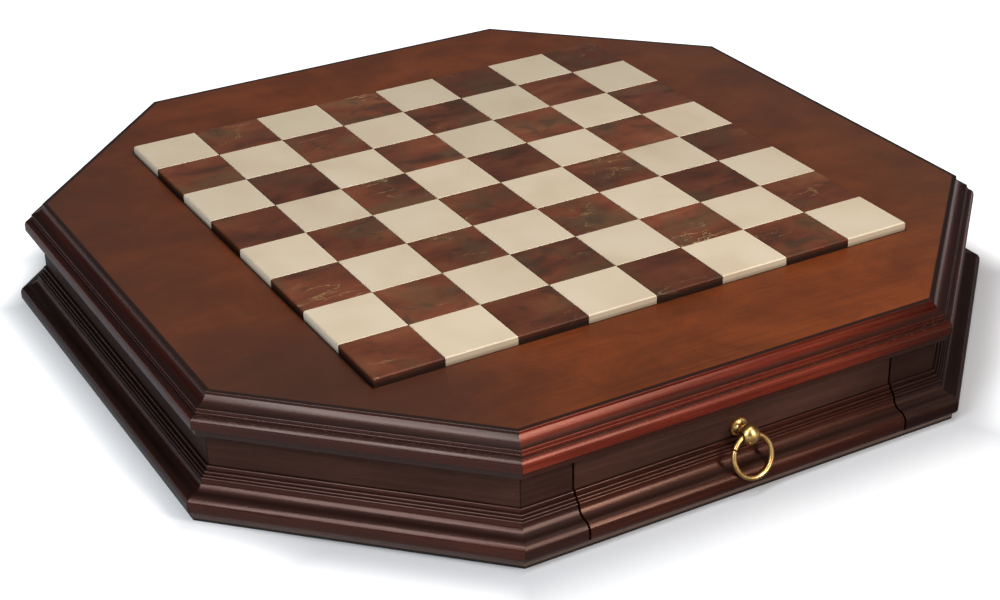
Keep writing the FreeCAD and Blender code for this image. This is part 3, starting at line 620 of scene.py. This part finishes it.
red_marble, tree, shader = new_material("red_marble")
place, cut = stone_place(tree)
clouds = noise(tree, stretch(tree, place, along=0.5), scale=40.0, detail=4.0, roughness=0.55,
               distortion=0.4)
colour = ramp(tree, clouds, [
    (0.30, (0.064, 0.024, 0.013)), (0.45, (0.138, 0.038, 0.018)),
    (0.58, (0.187, 0.055, 0.025)), (0.72, (0.250, 0.095, 0.042)),
])
olive = noise(tree, place, scale=30.0, detail=3.0, distortion=0.4)
olive_share = fade(tree, olive, 0.50, 0.66, 0.0, 0.6)
colour = blend(tree, olive_share, colour, (0.104, 0.062, 0.030, 1.0))
smoke = noise(tree, place, scale=60.0, detail=3.0, roughness=0.55, distortion=0.8)
smoke_share = fade(tree, smoke, 0.55, 0.72, 0.0, 0.6)
colour = blend(tree, smoke_share, colour, (0.054, 0.033, 0.022, 1.0))
strands = noise(tree, stretch(tree, place, along=0.4), scale=34.0, detail=5.0, roughness=0.6,
                distortion=0.8)
crack = sums(tree, "ABSOLUTE", sums(tree, "SUBTRACT", strands, 0.5))
sparse = fade(tree, noise(tree, place, scale=26.0), 0.55, 0.68)
vein = sums(tree, "MULTIPLY", fade(tree, crack, 0.0, 0.007, 1.0, 0.0), sparse)
colour = blend(tree, sums(tree, "MULTIPLY", vein, 0.7), colour, (0.52, 0.34, 0.16, 1.0))
shade = fade(tree, cut, 0.0, 1.0, 0.66, 1.12)
colour = blend(tree, 1.0, colour, shade, "MULTIPLY")
height = axes(tree, here(tree))["Z"]
foot = fade(tree, height, panel_high[2] + 0.001, board_high[2] - 0.001, 0.95, 0.55)
foot_shade = sums(tree, "MULTIPLY", foot, on_sides(tree, facing(tree)))
colour = blend(tree, foot_shade, colour, (0.012, 0.005, 0.004, 1.0))
set_inputs(tree, shader, {
    "Base Color": colour,
    "Roughness": fade(tree, smoke, 0.3, 0.7, 0.40, 0.50),
    "Specular IOR Level": 0.18,
})
lay_tiles("dark_tiles", "dark_squares", 0, red_marble)

alabaster, tree, shader = new_material("alabaster")
place, cut = stone_place(tree)
bands = noise(tree, stretch(tree, place, along=1.0, across=0.5), scale=34.0, detail=3.0,
              distortion=0.4)
clouds = noise(tree, place, scale=22.0, distortion=0.3)
colour = ramp(tree, mixture(tree, bands, 0.4, clouds), [
    (0.20, (0.605, 0.487, 0.347)), (0.5, (0.70, 0.59, 0.44)), (0.80, (0.748, 0.655, 0.525)),
])
shade = fade(tree, cut, 0.0, 1.0, 0.92, 1.0)
colour = blend(tree, 1.0, colour, shade, "MULTIPLY")
ways = facing(tree)
on_side = on_sides(tree, ways)
# Painted light: tile sides that face left are made paler, as if lit.
left_side_painted_light = sums(tree, "MULTIPLY", on_side, fade(tree, ways["X"], -0.7, -0.2, 0.9, 0.0))
colour = blend(tree, left_side_painted_light, colour, (0.90, 0.82, 0.68, 1.0))
# Painted shade: tile sides that face the front are darkened.
front_side_painted_shade = sums(tree, "MULTIPLY", on_side, fade(tree, ways["Y"], -0.7, -0.2, 0.5, 0.0))
colour = blend(tree, front_side_painted_shade, colour, (0.36, 0.31, 0.23, 1.0))
height = axes(tree, here(tree))["Z"]
# Painted shade: the tile sides darken towards their foot, down by the veneer.
foot = fade(tree, height, panel_high[2] + 0.0002, board_high[2] - 0.0022, 0.6, 0.0)
colour = blend(tree, sums(tree, "MULTIPLY", foot, on_side), colour, (0.16, 0.09, 0.06, 1.0))
set_inputs(tree, shader, {
    "Base Color": colour,
    "Roughness": fade(tree, bands, 0.3, 0.7, 0.42, 0.52),
    "Specular IOR Level": 0.14,
})
lay_tiles("light_tiles", "light_squares", 1, alabaster)

# Drawer front: a mahogany board that carries the frieze across the opening, with its own length
# of base moulding glued to it. A thin dark gap shows at both ends.

finish_node("drawer_front", frieze["front"])
finish_node("drawer_front_moulding", base_wood["front"])

# Drawer box: planed pine sides and back, with a thin bottom let into grooves in the sides.
# It is glued up, left bare inside, and slides between the guides.

for node in ("drawer_side_left", "drawer_side_right", "drawer_bottom"):
    finish_node(node, pine_deep)
finish_node("drawer_back", pine_across)

# Drawer lining: green felt, cut to the inside of the drawer and laid flat on its bottom. Pressed
# wool with a soft, slightly uneven nap and no weave.

lining_low, lining_high = (Vector(corner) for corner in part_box("drawer_lining"))
lining_size = lining_high - lining_low
nap_pitch = 0.0035
edge_sink, nap_sink = 0.35, 0.06
columns = round(lining_size.x / nap_pitch)
rows = round(lining_size.y / nap_pitch)
shape = bmesh.new()
bmesh.ops.create_grid(shape, x_segments=columns, y_segments=rows, size=0.5)
for corner in shape.verts:
    at_edge = max(abs(corner.co.x), abs(corner.co.y)) > 0.499
    wave = math.sin(corner.co.x * 61.0) * math.sin(corner.co.y * 83.0 + corner.co.x * 17.0)
    sink = edge_sink if at_edge else nap_sink + nap_sink * wave
    corner.co.x = lining_low.x + (corner.co.x + 0.5) * lining_size.x
    corner.co.y = lining_low.y + (corner.co.y + 0.5) * lining_size.y
    corner.co.z = lining_high.z - sink * lining_size.z
close_below(shape, lining_low.z)
felt_mesh = mesh_from(shape, "felt_lining")
felt_mesh.shade_smooth()
felt_lining = put_in_scene("felt_lining", felt_mesh)

felt, tree, shader = new_material("green_felt")
place = here(tree)
fibres = noise(tree, place, scale=1600.0, detail=4.0, roughness=0.75)
patches = noise(tree, place, scale=60.0, detail=3.0)
colour = ramp(tree, fibres, [(0.3, (0.010, 0.040, 0.020)), (0.7, (0.030, 0.095, 0.050))])
patch_share = fade(tree, patches, 0.35, 0.7, 0.0, 0.3)
colour = blend(tree, patch_share, colour, (0.012, 0.050, 0.026, 1.0))
set_inputs(tree, shader, {
    "Base Color": colour,
    "Roughness": 0.95,
    "Specular IOR Level": 0.1,
    "Sheen Weight": 0.25,
    "Normal": bump(tree, fibres, 0.6, 0.0006),
})
felt_mesh.materials.append(felt)
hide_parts("drawer_lining")
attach(felt_lining, "drawer")

# Pull post: turned from brass bar, with a bell-shaped foot, a short neck and a drilled ball. Its
# shank goes through the drawer front. Polished, with a little tarnish left in the hollows.

brass, tree, shader = new_material("polished_brass")
place = here(tree)
tarnish = noise(tree, place, scale=260.0, detail=4.0, roughness=0.6)
rubs = noise(tree, stretch(tree, place, along=0.15), scale=5200.0, roughness=0.6)
set_inputs(tree, shader, {
    "Base Color": ramp(tree, tarnish, [
        (0.30, (0.46, 0.26, 0.09)), (0.5, (0.74, 0.46, 0.17)), (0.7, (0.88, 0.61, 0.28)),
    ]),
    "Metallic": 1.0,
    "Roughness": fade(tree, tarnish, 0.3, 0.7, 0.40, 0.26),
    "Normal": bump(tree, rubs, 0.06, 0.00008),
})
finish_node("pull_post", brass)

# Pull ring: round brass wire bent to a ring and left with a narrow split, sprung through the
# hole in the ball. It hangs against the drawer front and lifts to be pulled.

finish_node("pull_ring", brass)

# Studio: a plain pale floor that takes the shadow, a tall softbox before the front, a weaker one
# at the left, a wide one overhead, and a white surround. The camera stands where the photo was
# taken.

floor_radius, floor_drop = 8.0, 0.0004
shape = bmesh.new()
bmesh.ops.create_circle(shape, cap_ends=True, segments=96, radius=floor_radius)
floor = put_in_scene("floor", mesh_from(shape, "floor"))
floor.location.z = -floor_drop
paper = bpy.data.materials.new("white_paper")
paper.use_nodes = True
tree = paper.node_tree
tree.nodes.clear()
ray = add(tree, "ShaderNodeLightPath").outputs
mirrored = sums(tree, "MAXIMUM", ray["Is Glossy Ray"], ray["Is Transmission Ray"])
place = here(tree)
away = edges_at(tree, place)["Reach"]
spot = axes(tree, place)
before_front = sums(tree, "MULTIPLY", fade(tree, spot["Y"], -0.66, -0.58),
                    fade(tree, spot["Y"], -0.29, -0.25, 1.0, 0.0))
mid_front = fade(tree, sums(tree, "ABSOLUTE", spot["X"]), 0.17, 0.23, 0.55, 0.0)
under_drawer = sums(tree, "MULTIPLY", before_front, mid_front)
left_of_case = fade(tree, spot["X"], -0.25, -0.19, 1.0, 0.0)
left_edge = sums(tree, "MULTIPLY", fade(tree, away, 0.019, 0.045, 0.30, 1.0), left_of_case)
soft_edge = sums(tree, "MAXIMUM", fade(tree, away, 0.022, 0.065), left_edge)
open_glow = sums(tree, "MAXIMUM", sums(tree, "SUBTRACT", soft_edge, under_drawer), 0.0)
glow = sums(tree, "ADD", sums(tree, "MULTIPLY", open_glow, ray["Is Camera Ray"]),
            sums(tree, "MULTIPLY", fade(tree, away, 0.15, 0.70), mirrored))
# Painted shade in reflections: seen in glossy surfaces, the floor near the case is made dark,
# except towards the left.
mirrored_floor_shade = sums(tree, "MULTIPLY", mirrored, fade(tree, away, 0.05, 0.50, 0.8, 0.0))
mirrored_floor_shade = sums(tree, "MULTIPLY", mirrored_floor_shade, fade(tree, spot["X"], -0.20, 0.0))
paper_colour = blend(tree, mirrored_floor_shade, (0.58, 0.60, 0.64, 1.0), (0.04, 0.03, 0.03, 1.0))
matt = add(tree, "ShaderNodeBsdfDiffuse", {"Color": paper_colour}).outputs[0]
light = add(tree, "ShaderNodeEmission", {"Strength": glow}).outputs[0]
both = add(tree, "ShaderNodeAddShader", {0: matt, 1: light}).outputs[0]
add(tree, "ShaderNodeOutputMaterial", {"Surface": both})
floor.data.materials.append(paper)

world = bpy.data.worlds.new("studio")
bpy.context.scene.world = world
world.use_nodes = True
tree = world.node_tree
tree.nodes.clear()
ray = add(tree, "ShaderNodeLightPath").outputs
ways = axes(tree, add(tree, "ShaderNodeTexCoord").outputs["Generated"])
low_wall = sums(tree, "MULTIPLY", fade(tree, ways["Z"], 0.0, 0.10, 1.0, 0.0),
                fade(tree, ways["X"], 0.25, 0.55, 1.0, 0.1))
back_wall = sums(tree, "MULTIPLY", fade(tree, ways["Y"], 0.3, 0.7, 0.0, 0.2),
                 fade(tree, ways["X"], 0.0, 0.25))
mirrored = sums(tree, "MAXIMUM", ray["Is Glossy Ray"], ray["Is Transmission Ray"])
walls = sums(tree, "MULTIPLY", mirrored, sums(tree, "MAXIMUM", low_wall, back_wall))
shown = sums(tree, "MAXIMUM", ray["Is Camera Ray"], walls)
room = add(tree, "ShaderNodeBackground", {"Color": (0.96, 0.98, 1.0, 1.0), "Strength": 0.06})
backdrop = add(tree, "ShaderNodeBackground", {"Color": (1.0, 1.0, 1.0, 1.0), "Strength": 1.0})
seen = add(tree, "ShaderNodeMixShader", {0: shown, 1: room.outputs[0], 2: backdrop.outputs[0]})
add(tree, "ShaderNodeOutputWorld", {"Surface": seen.outputs[0]})
lamp_aim = Vector((0.0, -0.05, 0.05))


def softbox(name, place, width, depth, power, tint):
    lamp = bpy.data.lights.new(name, "AREA")
    lamp.shape = "RECTANGLE"
    lamp.size = width
    lamp.size_y = depth
    lamp.energy = power
    lamp.color = tint
    box = put_in_scene(name, lamp)
    box.location = place
    box.rotation_mode = "QUATERNION"
    box.rotation_quaternion = (lamp_aim - Vector(place)).to_track_quat("-Z", "Y")
    return box


key = softbox("key", (0.38, -1.20, 0.80), width=0.34, depth=1.00, power=16.5,
              tint=(1.0, 0.92, 0.84))
side_light = softbox("side_light", (-1.02, -0.53, 0.86), width=0.34, depth=1.00, power=10.0,
                     tint=(0.90, 0.97, 1.0))
overhead = softbox("overhead", (0.05, -0.30, 1.33), width=1.10, depth=0.25, power=5.5,
                   tint=(1.0, 0.97, 0.93))

camera = put_in_scene("camera", bpy.data.cameras.new("camera"))
camera.data.sensor_fit = "HORIZONTAL"
camera.data.sensor_width = 36.0
camera.data.lens = 72.3937
camera.data.clip_start = 0.05
camera.location = (-0.497426, -0.895587, 0.542099)
look = Vector((0.42659076, 0.77158248, -0.47189067))
roll = Quaternion((0.0, 0.0, 1.0), math.radians(-1.287))
camera.rotation_mode = "QUATERNION"
camera.rotation_quaternion = look.to_track_quat("-Z", "Y") @ roll
bpy.context.scene.camera = camera
bpy.context.scene.view_settings.view_transform = "Standard"
